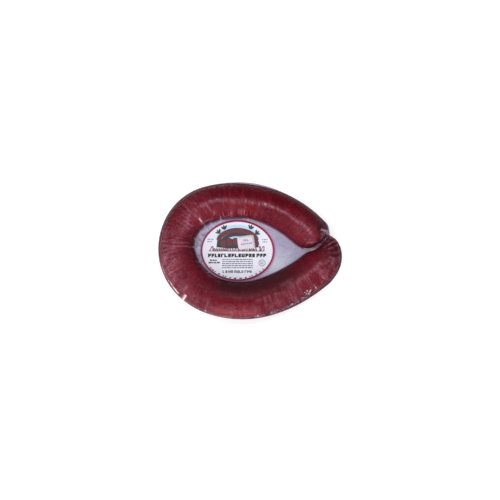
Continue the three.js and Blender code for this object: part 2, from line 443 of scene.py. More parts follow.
def meat_material():
    n = Nodes("smoked_meat")
    ring = n.stored("ring", "Vector")
    along, inwards, above = n.split(ring)
    broad = n.noise(ring, (0.02, 0.05, 0.05), 2.0)
    hatch = n.noise(ring, (0.55, 0.07, 0.07), 3.0, 0.65)
    fine = n.noise(ring, (0.30, 0.34, 0.34), 4.0, 0.65)
    grain = n.noise(ring, (1.6, 1.6, 1.6), 3.0, 0.6)

    colour = n.mix(n.ramp(broad, 0.35, 0.65), srgb(105, 2, 23), srgb(124, 9, 30))
    hatched = n.times(n.ramp(hatch, 0.46, 0.64), n.ramp(along, 250, 320, 0.7, 0.3))
    colour = n.mix(hatched, colour, srgb(150, 24, 43))
    colour = n.mix(n.ramp(fine, 0.5, 0.66, 0.0, 0.6), colour, srgb(72, 0, 12))
    colour = n.mix(n.ramp(grain, 0.55, 0.8, 0.0, 0.3), colour, srgb(156, 36, 50))

    # painted light: brighter, deeper red on the upper arm's inner flank, where the front light falls
    flank = n.times(n.between(along, 75, 105, 170, 200), n.ramp(inwards, 5, 11, 0.0, 0.6))
    colour = n.mix(flank, colour, n.mix(n.ramp(hatch, 0.42, 0.62), srgb(124, 0, 13), srgb(154, 5, 24)))
    # painted shade: dark brown over the lower arm's inner flank and crest
    belly_shade = n.times(n.between(along, 280, 305, 374, 420), n.ramp(inwards, -10, 14), 0.92)
    colour = n.mix(belly_shade, colour, srgb(61, 17, 22))
    # painted shade: darker maroon on the upper arm's back side, away from the light
    back = n.times(n.ramp(along, 255, 150, 0.12, 1.0), n.ramp(inwards, -7, -15, 0.0, 0.45))
    colour = n.mix(back, colour, srgb(78, 4, 20))
    # painted light: a bright orange-red band on the lower arm's outer flank, where the front light falls
    painted_light_band = n.times(n.between(along, 290, 305, 338, 350), n.between(inwards, -21, -18, -16, -12), 0.6)
    colour = n.mix(painted_light_band, colour, srgb(172, 62, 66))
    # painted shade: darker below the meat's middle height
    colour = n.mix(n.ramp(above, 3, -8, 0.0, 0.45), colour, srgb(64, 4, 14))
    colour = n.mix(n.ramp(along, LENGTH - 34, LENGTH - 16, 0.0, 0.6), colour, srgb(62, 2, 20))
    # painted shade: darker on the outer side of the blunt end
    blunt = n.times(n.ramp(along, 24, 11), n.ramp(inwards, -3, -10, 0.0, 0.9))
    colour = n.mix(blunt, colour, srgb(66, 8, 22))
    # painted shade: dark purple low on the meat, near the sheet, where it meets the film's fillet
    arms = n.math("MAXIMUM", n.ramp(along, 190, 150), n.ramp(along, 320, 350))
    side = n.math("MAXIMUM", n.ramp(inwards, -1, 1), arms)
    sheet_seam_shade = n.times(n.ramp(n.math("ABSOLUTE", above), 8.0, 1.5, 0.0, 0.85), side)
    colour = n.mix(sheet_seam_shade, colour, srgb(60, 10, 48))

    normal = n.bump(fine, 0.5, 0.0016, n.bump(hatch, 0.3, 0.0012))
    return n.surface({
        "Base Color": colour,
        "Roughness": n.ramp(fine, 0.3, 0.7, 0.35, 0.55),
        "Specular IOR Level": 0.02,
        "Normal": n.bump(grain, 0.2, 0.0004, normal),
    })


def film_material():
    n = Nodes("clear_film")
    ring = n.stored("ring", "Vector")
    along = n.split(ring)[0]
    haze_and_highlight, web, spark = n.split(n.stored("marks", "Vector"))
    pink, squeeze_shade, sheen, edge, ridge_glints = map(n.stored, FILM_SHARES)
    ridges = n.noise(ring, (0.46, 0.05, 0.05), 3.0, 0.65)
    crinkle = n.noise(n.object_place(), 130.0, 3.0, 0.6, 0.8)
    broken = n.noise(ring, (0.24, 0.30, 0.30), 4.0, 0.65)
    tiny = n.noise(ring, (0.45, 0.4, 0.4), 3.0, 0.65)
    facing = n.add("LayerWeight", {"Blend": 0.5}).outputs["Facing"]
    rim = n.ramp(facing, 0.78, 0.97)

    # painted glints: some cells of a pattern of dots are painted near white
    dots = n.add("TexVoronoi", {"Vector": n.scaled(ring, (0.62, 0.40, 0.40)), "Scale": 1.0})
    chance = n.add("SeparateColor", {0: dots.outputs["Color"]}).outputs[0]
    uneven = n.plus(dots.outputs["Distance"], n.times(n.math("SUBTRACT", tiny, 0.5), 0.5))
    painted_glints = n.times(n.ramp(uneven, 0.37, 0.23), n.math("LESS_THAN", chance, spark))

    # how much of the film covers what lies under it
    ridged = n.times(n.ramp(ridges, 0.38, 0.64, 0.5, 1.45), n.ramp(broken, 0.34, 0.66, 0.65, 1.35))
    # painted glints: bright orange-red on the crests of the fine cross ridges
    lit_ridges = n.times(ridge_glints, n.ramp(ridges, 0.47, 0.56))
    amount = n.plus(
        n.times(n.plus(haze_and_highlight, 0.006), ridged),
        n.times(web, n.ramp(crinkle, 0.38, 0.64, 0.36, 0.50)),
        n.times(rim, 0.04),
        lit_ridges,
        n.times(n.plus(squeeze_shade, edge), n.ramp(facing, 0.4, 0.8, 1.0, 0.12), 0.8),
        n.times(pink, 0.3),
        n.times(sheen, 0.75),
        painted_glints,
    )
    amount = n.math("MINIMUM", amount, 0.88)
    gloss = n.times(n.math("SUBTRACT", 1.0, rim), CLEAR_GLOSS)
    total = n.plus(amount, n.times(gloss, n.math("SUBTRACT", 1.0, amount)))

    # the colour of each kind of cover
    # painted shade: the tint of the dark lines at the meat's edges and of the painted shadows on the sheet
    warmth = n.between(along, 150, 215, 300, 345)
    line = n.mix(warmth, srgb(60, 32, 72), srgb(104, 48, 78))
    # painted shade: darker grey on the film's folds in the sheet
    folds = n.times(n.ramp(crinkle, 0.44, 0.56), n.between(along, 130, 160, 262, 290))
    sheet = n.mix(folds, srgb(207, 202, 234), srgb(152, 148, 172))
    # milky film haze, turning to a painted near-white highlight where it is strongest
    milky = n.mix(n.ramp(haze_and_highlight, 0.4, 0.85), srgb(214, 136, 158), srgb(246, 228, 238))
    tint = n.mix(web, n.mix(lit_ridges, milky, srgb(226, 104, 100)), sheet)
    tint = n.mix(sheen, tint, srgb(236, 240, 255))
    # painted shade: a dark purple edge where the film is seen at a grazing angle
    tint = n.mix(rim, tint, srgb(92, 36, 96))
    tint = n.mix(pink, tint, srgb(240, 110, 170))
    tint = n.mix(edge, tint, line)
    # painted shade in the crevice between the two ends and at both ends
    tint = n.mix(squeeze_shade, tint, n.mix(n.ramp(ridges, 0.44, 0.58), srgb(62, 8, 22), srgb(98, 34, 50)))
    tint = n.mix(painted_glints, tint, srgb(255, 248, 255))

    # relief, without the ring's coordinates in the web, where they jump
    skin = n.math("SUBTRACT", 1.0, web)
    normal = n.bump(crinkle, 0.5, 0.0035, n.bump(n.times(ridges, skin), 0.5, 0.0016))
    pimples = n.times(tiny, skin, n.plus(spark, 0.2))
    dull = n.plus(n.times(n.plus(squeeze_shade, edge), 0.2), n.ramp(facing, 0.5, 0.85, 0.0, 0.35))
    n.surface({
        "Base Color": n.mix(n.math("DIVIDE", amount, total), (0.01, 0.004, 0.006, 1), tint),
        "Roughness": n.plus(n.ramp(tiny, 0.3, 0.7, 0.14, 0.3), dull),
        "IOR": 1.35,
        "Normal": n.bump(pimples, 0.6, 0.0012, normal),
    })
    clear = n.add("BsdfTransparent", {0: (0.98, 0.965, 0.98, 1)})
    mixed = n.add("MixShader", {0: total, 1: clear.outputs[0], 2: n.shader.outputs[0]})
    n.put(n.tree.nodes["Material Output"].inputs[0], mixed.outputs[0])
    return n.material


def paper_material(name, colour, other, roughness=0.4):
    """Paper or ink of two close display colours."""
    n = Nodes(name)
    place = n.object_place()
    fibres = n.noise(place, 900.0, 3.0, 0.6)
    cloud = n.noise(place, 45.0, 2.0)
    blend = n.ramp(n.times(n.plus(fibres, cloud), 0.5), 0.35, 0.65)
    return n.surface({
        "Base Color": n.mix(blend, srgb(*colour), srgb(*other)),
        "Roughness": n.ramp(fibres, 0.3, 0.7, roughness - 0.06, roughness + 0.08),
        "Specular IOR Level": 0.3,
        "Normal": n.bump(n.plus(fibres, n.times(cloud, 3.0)), 0.12, 0.0004),
    })


# dark purple and warmer mauve for the bodies of painted shade in the folds and the crevice
def seam_shade_material():
    n = Nodes("painted_seam_shade")
    ring = n.stored("ring", "Vector")
    along, inwards, _ = n.split(ring)
    patches = n.noise(ring, (0.35, 0.5, 0.5), 3.0, 0.6)
    blend = n.ramp(patches, 0.4, 0.62)
    cool = n.mix(blend, srgb(50, 12, 46), srgb(84, 30, 72))
    warm = n.mix(blend, srgb(96, 32, 64), srgb(140, 74, 106))
    warmth = n.times(n.between(along, 160, 215, 310, 350), n.ramp(inwards, 1, -1))
    return n.surface({
        "Base Color": n.mix(warmth, cool, warm),
        "Roughness": n.ramp(patches, 0.3, 0.7, 0.6, 0.8),
        "Specular IOR Level": 0.05,
        "Normal": n.bump(patches, 0.3, 0.0006),
    })


# ---- the meat

MEAT_INSET = 0.35  # room for the film over the meat


def make_meat():
    points, faces, ring = tube_mesh(MEAT_INSET, step=1, around=96)
    mesh = mesh_from("meat", points, faces)
    s, u = ring[:, 0], ring[:, 1]
    rise = film_marks(s, u, points[:, 2])[0]
    lumps = 0.12 * ripple(s, 31, 21) * ripple(u, 29, 22)
    displace(mesh, points, 0.8 * rise + gathers(s, u) + creases(s, u) + lumps - 0.15)
    store(mesh, "ring", ring)
    obj = new_object("meat", mesh, meat_material())
    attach(obj, "root")
    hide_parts("bologna")


# ---- the film

VOXEL = 1.1
COARSE_HALF = 1.3  # half thickness of the sheet in the coarse body


def film_base():
    """A coarse closed body round the meat, the sheet and the fin, remeshed evenly."""
    points, faces, _ = tube_mesh(inset=-0.3, step=3, around=40)
    tube = mesh_from("film_tube", points, faces)
    ring = OUTLINE[::2]
    rows = [np.c_[ring, np.full(len(ring), SHEET_Z + side * COARSE_HALF)] for side in (-1, 1)]
    slab = mesh_from("film_slab", np.concatenate(rows), sweep_faces(2, len(ring)))
    bm = bmesh.new()
    bm.from_mesh(tube)
    bm.from_mesh(slab)
    bmesh.ops.recalc_face_normals(bm, faces=bm.faces)
    mesh = bpy.data.meshes.new("film_base")
    bm.to_mesh(mesh)
    bm.free()
    obj = new_object("film_base", mesh)
    remesh = obj.modifiers.new("even", "REMESH")
    remesh.mode = "VOXEL"
    remesh.voxel_size = VOXEL * MM
    baked = bpy.data.meshes.new_from_object(obj.evaluated_get(bpy.context.evaluated_depsgraph_get()))
    bpy.data.objects.remove(obj)
    for used in (tube, slab, mesh):
        bpy.data.meshes.remove(used)
    return baked


def project_to_film(points):
    """Move each point onto the film, in a few short steps down the slope of its distance."""
    probe, longest = 0.05, 0.8
    for _ in range(4):
        value = film_value(points)
        gradient = np.empty_like(points)
        for axis in range(3):
            moved = points.copy()
            moved[:, axis] += probe
            gradient[:, axis] = (film_value(moved) - value) / probe
        size = (gradient**2).sum(1)
        step = np.clip(value / np.maximum(size, 0.2), -longest, longest)
        points = points - step[:, None] * gradient
    return points


def ripple(x, longest, seed):
    """A smooth wandering line between about -1 and 1."""
    rng = np.random.default_rng(seed)
    total = np.zeros_like(x, dtype=float)
    for k in range(4):
        total += np.sin(2 * np.pi * x / (longest / 1.8**k) + rng.uniform(0, 6.28)) / 1.35**k
    return total / 2.2


def stroke_distance(s, u, path):
    """Distance in plan to a line of straight stretches."""
    best = np.full_like(s, 1e9)
    for (s0, u0), (s1, u1) in zip(path, path[1:]):
        ds, du = s1 - s0, u1 - u0
        t = np.clip(((s - s0) * ds + (u - u0) * du) / (ds * ds + du * du), 0, 1)
        best = np.minimum(best, np.hypot(s - s0 - t * ds, u - u0 - t * du))
    return best


FLAP = 269.5  # where a pale corner of film lies over the lower left edge

STREAKS = [  # film folds and painted highlight streaks: path as along and inwards of the ring, half width, haze and painted highlight, raised height, length of its breaks
    ([(158, 2.7), (138, 1.5), (118, 4.5), (104, 4.2), (91, 4.4), (78, 2.4)], 1.7, 0.26, 0.06, 8),
    ([(80, 2.4), (56, 2.8), (38, 3.4), (26, 1.9), (12, 3.1)], 1.1, 0.4, 0.12, 9),
    ([(300, -1), (326, -1.3), (345, -1)], 2, 0.03, 0.04, 16),
    ([(345, -4.5), (365, -7.5), (384, -7.8), (401, -7.4), (426, -5.7)], 2.2, 0.06, 0.06, 40),
    ([(378, 2.6), (390, 3.2)], 1.8, 0.14, 0.1, 12),
    ([(200, -13), (215, -14.5), (235, -15), (255, -14)], 2, 0.12, 0.08, 18),
    ([(205, -2.5), (225, -3), (250, -6)], 2.2, 0.08, 0.06, 14),
    ([(385, -3.2), (398, -1.8), (409, -1.4), (418, -0.6), (429, 0.2)], 1.9, 0.3, 0.1, 60),
    ([(347, -4.4), (366, -4.1), (378, -4.6)], 1.8, 0.12, 0.06, 14),
    ([(205, -19.4), (176, -18.6), (152, -17), (136, -15.6), (118, -15.9)], 0.5, 0.24, 0.12, 40),
    ([(176, -15.5), (168, -9), (162, -2.5)], 0.5, 0.16, 0.12, 30),
    ([(171, 7.5), (169, 12.5)], 0.8, 0.45, 0.2, 90),
    ([(169.6, 13.8), (169.2, 16.8)], 0.9, 1.4, 0.25, 90),
    ([(150, 6), (148, 11), (144, 15.5)], 1, 0.3, 0.25, 5),
    ([(176, 17.5), (158, 19.5), (149, 20)], 0.8, 0.25, 0.2, 5),
    ([(213.5, 14), (214.5, 5.7), (215, -3)], 0.6, 0.34, 0.3, 25),
    ([(219.5, 17), (219.4, 5.6), (219, -3)], 0.6, 0.34, 0.3, 25),
    ([(208, 9), (208.5, 1)], 0.5, 0.2, 0.2, 25),
    ([(166, 23), (160, 27.5)], 0.9, 0.5, 0.2, 40),
    ([(200, 22), (190, 26.5)], 0.9, 0.5, 0.2, 40),
    ([(202, 22), (210, 27.5)], 0.9, 0.4, 0.2, 40),
    ([(219, 21.5), (228, 27.5)], 0.8, 0.5, 0.2, 40),
    ([(247, 22), (257, 27)], 0.8, 0.4, 0.2, 40),
    ([(176, 3), (188, 7.5), (203, 5)], 1.2, 0.2, 0.15, 6),
    ([(184, 13), (192, 10.5), (201, 9)], 1, 0.18, 0.15, 6),
    ([(424, -8), (432, -11.5), (441, -9), (441, -3.5), (433, -3)], 1.5, 0.2, 0.15, 9),
    ([(234, -20.2), (241, -20.5), (252, -20.6), (263, -20.4)], 0.5, 0.85, 0.1, 40),
    ([(FLAP - 0.8, -23), (FLAP, -20), (FLAP + 0.2, -17.4)], 0.8, 1.5, 0, 90),
    ([(256, -20.8), (300, -21), (350, -20.8)], 0.5, 0.14, 0.06, 6),
    ([(467, -3.5), (465, 0), (461.5, 4)], 0.55, 0.36, 0.2, 12),
    ([(463, -6), (460.5, -1), (456.5, 4.5), (452, 8)], 0.55, 0.34, 0.2, 9),
    ([(459, -9), (455.5, -3.5), (452, 2)], 0.6, 0.3, 0.2, 9),
    ([(453, -12), (449.5, -6), (447, 0)], 0.6, 0.26, 0.2, 8),
    ([(447, -14.5), (444, -9), (442, -3)], 0.6, 0.22, 0.2, 8),
    ([(2, 3), (5, 9), (9, 13)], 0.5, 0.3, 0.2, 9),
]

RIDGE_GLINTS = [  # painted glints on short ridges across the sausage: centre along and inwards, half lengths, strength
    (127, 18, 6, 1.8, 0.55),
    (100, 15.8, 7, 1.8, 0.5),
    (140, 14.5, 26, 3.5, 0.04),
    (182, 5, 12, 5, 0.07),
    (200, 3, 22, 8, 0.03),
    (423, -15, 6, 3, 0.3),
    (408, -6, 16, 3, 0.06),
]

PATCHES = [  # patches of haze and painted sheen: centre along and inwards, half lengths both ways, haze and painted sheen
    (192, 2, 36, 15, 0.015),
    (176, 3, 12, 7, 0.05),
    (228, -7, 15, 7, 0.08),
    (262, -12, 16, 5, 0.05),
    (160, -12, 22, 7, 0.03),
    (330, -16, 40, 5, 0.09),
    (392, -15, 26, 6, 0.05),
    (250, -14, 26, 8, 0.06),
    (436, -8, 10, 8, 0.05),
    (18, 3, 14, 9, 0.07),
]

SPARKS = [  # clusters of painted glints: centre along and inwards, half lengths, how many are lit
    (404, -18.2, 7.5, 2.1, 0.85),
    (395, -19.2, 4, 1.4, 0.9),
    (384, -20.4, 4, 1.2, 0.9),
    (373, -21, 4.5, 1, 0.6),
    (358, -21.3, 5, 0.8, 0.95),
    (345, -21.4, 4, 0.7, 0.8),
    (315, -21.4, 12, 0.7, 0.4),
    (293, -20.6, 9, 0.8, 0.4),
    (255, -20.8, 8, 0.8, 0.3),
    (148, 15.8, 5, 0.8, 0.14),
]

DIMMEST_SPARK = 0.18  # below it a cluster ends


def spot(s, u, place):
    """A soft oval: its centre along and inwards, and its half lengths."""
    s0, u0, half_s, half_u = place
    return bell(s - s0, half_s) * bell(u - u0, half_u)


def film_marks(s, u, z):
    """Displacement along the normal, haze with painted highlights, painted sparkle and painted glints on
    cross ridges at each point of the film.
    """
    upper = fade(z - SHEET_Z, -2.5, 0.3)
    rise, haze_and_highlight, ridge_glints, spark = (np.zeros_like(s) for _ in range(4))
    for path, width, strength, height, breaks in STREAKS:
        wander = 0.5 * ripple(s, 37, len(path))
        close = bell(stroke_distance(s, u + wander, path), width) * upper
        broken = 0.66 + 0.34 * ripple(s + 0.7 * u, breaks, 3)
        haze_and_highlight += strength * close * broken
        rise += height * close * broken
    for *place, strength in PATCHES:
        haze_and_highlight += strength * spot(s, u, place) * upper * (1 + 0.5 * ripple(s + 0.4 * u, 23, 5))
    for *place, strength in RIDGE_GLINTS:
        ridge_glints += strength * spot(s, u, place) * upper
    for *place, lit in SPARKS:
        spark = np.maximum(spark, lit * spot(s, u, place))
    spark *= fade(z - SHEET_Z, 1.0, 4.5)
    return rise, haze_and_highlight, np.where(spark > DIMMEST_SPARK, spark, 0), ridge_glints


def gathers(s, u):
    """Wrinkles at the two ends, where the film is drawn together."""
    blunt = fade(16 - s, 0, 12) * np.sin(u * 1.7 + 0.9 * ripple(s, 11, 8)) * fade(-u, -12, 6)
    curved = (LENGTH - s + 0.012 * u * u) * 1.35 + 1.1 * ripple(u, 17, 9)
    taper = fade(s, LENGTH - 26, LENGTH - 6) * np.sin(curved)
    return 0.15 * blunt + 0.30 * taper


def creases(s, u):
    """Fine ridges that run round the sausage, deepest on the left bend."""
    bend = 0.35 + 0.35 * bell(s - 195, 40)
    ridge = np.sin(1.55 * s + 2.2 * ripple(u + 0.1 * s, 24, 31) + 1.5 * ripple(s, 21, 32))
    patchy = 0.5 + 0.5 * ripple(s + 1.7 * u, 17, 33)
    return 0.05 * bend * ridge * np.clip(patchy, 0, 1)


def displace(mesh, points, rise):
    """Move each point along its normal, never out of the box of the solids."""
    mesh.vertices.foreach_set("co", (points * MM).ravel())
    mesh.update()
    normals = np.empty(points.size)
    mesh.vertices.foreach_get("normal", normals)
    low, high = (np.array(corner) / MM for corner in CAD_BOX)
    above_floor = (0, 0, 0.02)
    moved = np.clip(points + normals.reshape(-1, 3) * rise[:, None], low + above_floor, high)
    mesh.vertices.foreach_set("co", (moved * MM).ravel())
    mesh.polygons.foreach_set("use_smooth", [True] * len(mesh.polygons))
    mesh.update()
    return moved


# lines in plan: the gap between the two ends, a pale corner of film across it, painted dark shade along the
# tapered tip, and a fold of film beside the label
CREVICE = [(82, 7.8), (85, 11.2), (87, 15), (89.5, 18.5)]
CORNER_LINE = [(84, 21.6), (89, 21.2), (93.5, 19.5)]
TIP_LINE = [(88, 17.5), (95.6, 16), (100, 14), (103.5, 10.5)]
PALE_LINE = [(-62.5, -5.8), (-58.4, -17), (-50.4, -28.2), (-44.5, -33.4)]
CREVICE_HALF = 2.6
WEB_SHADOWS = [(56, 3, 14, 0.14), (38, 20, 8, 0.1), (-46, -30, 5.5, 0.4)]  # painted shadows on the sheet: place, reach and strength


def near_line(points, path, width):
    """Share of a soft line in plan at each place."""
    return bell(stroke_distance(points[:, 0], points[:, 1], path), width)


def in_crevice(points):
    """Share of the narrow gap between the two ends at each place."""
    return np.clip(1.3 * near_line(points, CREVICE, 2.4), 0, 1) * fade(points[:, 0], 81, 85)


def pink_share(points, web):
    """Pink thrown on the sheet along the label's lower right rim."""
    x, y = points[:, 0] - LABEL[0], points[:, 1] - LABEL[1]
    beyond = (np.hypot(x / LABEL_SIZE[0], y / LABEL_SIZE[1]) - 1) * 40  # about mm from its rim
    return 0.8 * bell(beyond - 0.7, 0.55) * fade(x - 0.7 * y, -14, 18) * web


def squeeze_shade_share(points, s, u, tube):
    """Painted shade where the film is squeezed: in the crevice and at the two ends."""
    drawn = fade(26 - s, 0, 12) * fade(tube, 0.1, 0.7) * (u < 8)
    tip = fade(s, LENGTH - 20, LENGTH - 10) * fade(tube, 0.1, 0.6)
    line = near_line(points, TIP_LINE, 1.2) * (points[:, 2] > 14)
    squeeze_shade = np.max([0.4 * in_crevice(points), 0.5 * drawn, 0.6 * tip, line], axis=0)
    return np.clip(squeeze_shade, 0, 1)


def sheen_share(points, web):
    """Glare on the sheet, and on two folds of film."""
    on_top = points[:, 2] - SHEET_Z > -0.5
    glare = bell(np.hypot(points[:, 0] - 33, (points[:, 1] + 19) * 1.3), 13) * web
    corner = near_line(points, CORNER_LINE, 0.8) * on_top
    fold = near_line(points, PALE_LINE, 0.9) * on_top
    return np.max([glare, 0.65 * corner, 0.22 * fold], axis=0)


def edge_share(points, s, u, tube, web):
    """Painted shade: dark lines where the skin runs out into the sheet and the fin, darker low on the
    meat's flanks and at its outline, and painted shadows on the sheet.
    """
    above = points[:, 2] - SHEET_Z
    lip = fade(tube, -0.05, 0.3) * (1 - fade(tube - sag(s), 1.0, 2.1)) * (1 - 0.5 * bell(s - 98, 8))
    flank = 0.3 * (1 - fade(above, 1.5, 7)) * (above > -3) * (1 - 0.5 * bell(s - 138, 26))
    # painted shadows on the sheet beside the upper arm and at the listed places
    dull = 0.08 * bell(s - 165, 36) * bell(tube - 2.6, 1.6)
    for x, y, reach, strength in WEB_SHADOWS:
        dull += strength * bell(np.hypot(points[:, 0] - x, points[:, 1] - y), reach) * web
    inner = np.maximum(lip * 0.5, flank) + dull
    inner *= 1 - 0.85 * np.clip(pleat_share(s, u), 0, 1)
    fin = 0.35 * fade(tube, 0.05, 0.4) * (1 - 0.5 * fade(tube, 1.4, 2.6))
    limb = 0.3 * (1 - fade(np.abs(above), 2, 9))
    dashes = 0.75 + 0.25 * ripple(s, 9, 41)
    outer = np.maximum(fin, limb) * dashes * (1 - 0.95 * bell(s - FLAP, 2.0))
    return np.clip(np.where(u > 0, inner, outer), 0, 1)


def make_film():
    mesh = film_base()
    co = np.empty(len(mesh.vertices) * 3)
    mesh.vertices.foreach_get("co", co)
    points = project_to_film(co.reshape(-1, 3) / MM)
    s, u, tube = on_ring(points)
    z = points[:, 2]
    middle = body_radius(np.clip(s, 0, LENGTH)) - FLAT_DEPTH
    web = fade(tube + 4 * pleat_share(s, u), 1.1, 2.4) * (1 - 0.9 * in_crevice(points))
    rise, haze_and_highlight, spark, ridge_glints = film_marks(s, u, z)
    rise += gathers(s, u) + creases(s, u)
    points = displace(mesh, points, rise * (1 - 0.8 * web))
    store(mesh, "ring", np.c_[s, u, z - middle])
    store(mesh, "marks", np.c_[np.clip(haze_and_highlight, 0, 1), web, spark])
    pink, squeeze_shade = pink_share(points, web), squeeze_shade_share(points, s, u, tube)
    sheen, edge = sheen_share(points, web), edge_share(points, s, u, tube, web)
    for name, values in zip(FILM_SHARES, (pink, squeeze_shade, sheen, edge, ridge_glints)):
        attribute = mesh.attributes.new(name, "FLOAT", "POINT")
        attribute.data.foreach_set("value", values.astype(np.float32))
    mesh.name = "film_wrap"
    obj = new_object("film_wrap", mesh, film_material())
    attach(obj, "root")
    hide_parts("film", "bologna")


def strip(name, x, y, across, rim, ring, material):
    """A closed strip: at each place of a line, the rim's points lie across it and at a height."""
    rows = [np.c_[x + across[0] * u, y + across[1] * u, z + 0 * u] for u, z in rim]
    points = np.stack(rows, axis=1).reshape(-1, 3)
    mesh = mesh_from(name, points, sweep_faces(len(x), len(rim)))
    store(mesh, "ring", np.stack(ring, axis=1))
    bm = bmesh.new()
    bm.from_mesh(mesh)
    bmesh.ops.recalc_face_normals(bm, faces=bm.faces)
    bm.to_mesh(mesh)
    bm.free()
    obj = new_object(name, mesh, material)
    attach(obj, "root")


def make_side_seams(material):
    """Dark bodies of painted shade in the fold where the two films meet beside the meat, inside and outside
    the ring.
    """
    s = np.linspace(NOTCH_CORNER, LENGTH - 6, 460)
    x, y, heading = line_at(s)
    meat = meat_radius(s)
    end = fade(22 - s, 0, 12)
    inner = 0.9 + sag(s) * 0.55 - 0.7 * bell(s - 98, 8) + 0.3 * ripple(s, 7, 51)
    fin = swelling(FIN, FIN_FLARES, s)
    outer = np.minimum(0.75 + 0.35 * np.clip(fin - FIN, 0, 1) + 3.0 * end, fin - 0.2)
    outer += 0.12 * ripple(s, 5, 52) - 0.7 * bell(s - FLAP, 1.8)
    for name, sign, reach, tall in (("seam_shade_inner", 1, inner, 0 * end), ("seam_shade_outer", -1, outer, end)):
        reach = np.maximum(reach, 0.15) * fade(LENGTH - 4 - s, 0, 14 if sign > 0 else 4)
        sections = [  # place across and half height, from the meat outwards
            (meat - 1.2 - tall, 1.5 + 3 * tall),
            (meat + 0.25, 0.7 + 1.8 * tall),
            (meat + reach, 0.16 + 0 * s),
        ]
        rim = [(u, SHEET_Z + h) for u, h in sections] + [(u, SHEET_Z - h) for u, h in sections[::-1]]
        ring = [np.c_[s, sign * u, z - SHEET_Z] for u, z in rim]
        strip(name, x, y, (-sign * np.sin(heading), sign * np.cos(heading)), rim, ring, material)


def make_crevice_seam(material):
    """The same painted shade in the gap between the two ends."""
    knots = np.array(CREVICE)
    t = np.linspace(0, len(knots) - 1, 40)
    x, y = (np.interp(t, np.arange(len(knots)), knots[:, k]) for k in (0, 1))
    run = np.hypot(np.gradient(x), np.gradient(y))
    across = (-np.gradient(y) / run, np.gradient(x) / run)
    half = CREVICE_HALF * fade(t, -0.6, 0.8) * fade(len(knots) - 0.4 - t, 0, 1)
    rim = [(side * half, SHEET_Z - 0.3 + 0.2 * abs(side)) for side in (-1, 0, 1)]
    rim += [(side * half, SHEET_Z + 0.3 - 0.2 * abs(side)) for side in (1, 0, -1)]
    ring = [np.c_[t * 5, 5 + u, 0 * u] for u, _ in rim]
    strip("crevice_shade", x, y, across, rim, ring, material)


def make_seams():
    material = seam_shade_material()
    make_side_seams(material)
    make_crevice_seam(material)


# ---- the label and its print

LABEL = (-14.7, -0.6)  # its middle
LABEL_SIZE = (43.7, 36.6)  # half width and half height
LABEL_TOP = SHEET_Z + SHEET_HALF + 0.55
LABEL_RISE = 1.9  # how far its upper and lower rims curl up
PAPER = 0.25
INK = 0.05
BAND_EDGES = np.arange(-35, 36, 2.5)  # where print is cut to follow the paper


def on_label(x, y):
    """Plan position and height of a place on the label's paper."""
    return (LABEL[0] + x, LABEL[1] + y), LABEL_TOP + LABEL_RISE * (y / LABEL_SIZE[1]) ** 6


def paper_mesh(name, outline, shares, thickness, height_at):
    """Paper as a sweep of its outline, scaled by shares: out along the underside and back over the top."""
    points = []
    for drop, run in ((thickness, shares), (0, shares[::-1])):
        for share in run:
            for x, y in outline:
                place, z = height_at(x * share, y * share)
                points.append((*place, z - drop))
    return mesh_from(name, points, sweep_faces(2 * len(shares), len(outline)))


def make_label():
    rings = 26
    shares = [(r / rings) ** 0.9 for r in range(1, rings + 1)]
    mesh = paper_mesh("label", oval(0, 0, *LABEL_SIZE, count=128), shares, PAPER, on_label)
    material = paper_material("label_paper", (228, 226, 236), (219, 217, 229))
    obj = new_object("label_paper", mesh, material)
    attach(obj, "root")
    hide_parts("label")


def printed(name, outlines, material, lift, height_at):
    """Ink shapes with a hair's thickness, cut into bands and laid on the paper."""
    bm = bmesh.new()
    for outline in outlines:
        bm.faces.new([bm.verts.new((x, y, 0)) for x, y in outline])
    bmesh.ops.triangulate(bm, faces=bm.faces[:])
    for cut in BAND_EDGES:
        parts = bm.verts[:] + bm.edges[:] + bm.faces[:]
        bmesh.ops.bisect_plane(bm, geom=parts, plane_co=(0, cut, 0), plane_no=(0, 1, 0))
    bmesh.ops.recalc_face_normals(bm, faces=bm.faces)
    for face in bm.faces:
        if face.normal.z < 0:
            face.normal_flip()
    above = bmesh.ops.extrude_face_region(bm, geom=bm.faces[:])["geom"]
    raised = {v for v in above if isinstance(v, bmesh.types.BMVert)}
    for v in bm.verts:
        place, z = height_at(v.co.x, v.co.y)
        up = lift if v in raised else lift - INK
        v.co = Vector((place[0] * MM, place[1] * MM, (z + up) * MM))
    bmesh.ops.recalc_face_normals(bm, faces=bm.faces)
    mesh = bpy.data.meshes.new(name)
    bm.to_mesh(mesh)
    bm.free()
    obj = new_object(name, mesh, material)
    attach(obj, "root")


def turned(x, y, angle):
    return x * math.cos(angle) - y * math.sin(angle), x * math.sin(angle) + y * math.cos(angle)


def oval(x, y, rx, ry, count, turn=0.0):
    points = []
    for i in range(count):
        a = 2 * math.pi * i / count
        px, py = turned(rx * math.cos(a), ry * math.sin(a), turn)
        points.append((x + px, y + py))
    return points


def bar(x0, y0, x1, y1):
    return [(x0, y0), (x1, y0), (x1, y1), (x0, y1)]


def band(path, widths):
    """Quads along a path, with a width at each of its points."""
    sides = []
    for i, (x, y) in enumerate(path):
        ax, ay = path[max(i - 1, 0)]
        bx, by = path[min(i + 1, len(path) - 1)]
        size = math.hypot(bx - ax, by - ay) or 1
        nx, ny = -(by - ay) / size, (bx - ax) / size
        w = widths[i] / 2
        sides.append(((x + nx * w, y + ny * w), (x - nx * w, y - ny * w)))
    return [[a[0], a[1], b[1], b[0]] for a, b in zip(sides, sides[1:])]


def even_band(path, width):
    return band(path, [width] * len(path))


def hoop(x, y, rx, ry, count, width):
    """A closed oval line."""
    line = oval(x, y, rx, ry, count)
    return even_band(line + line[:1], width)


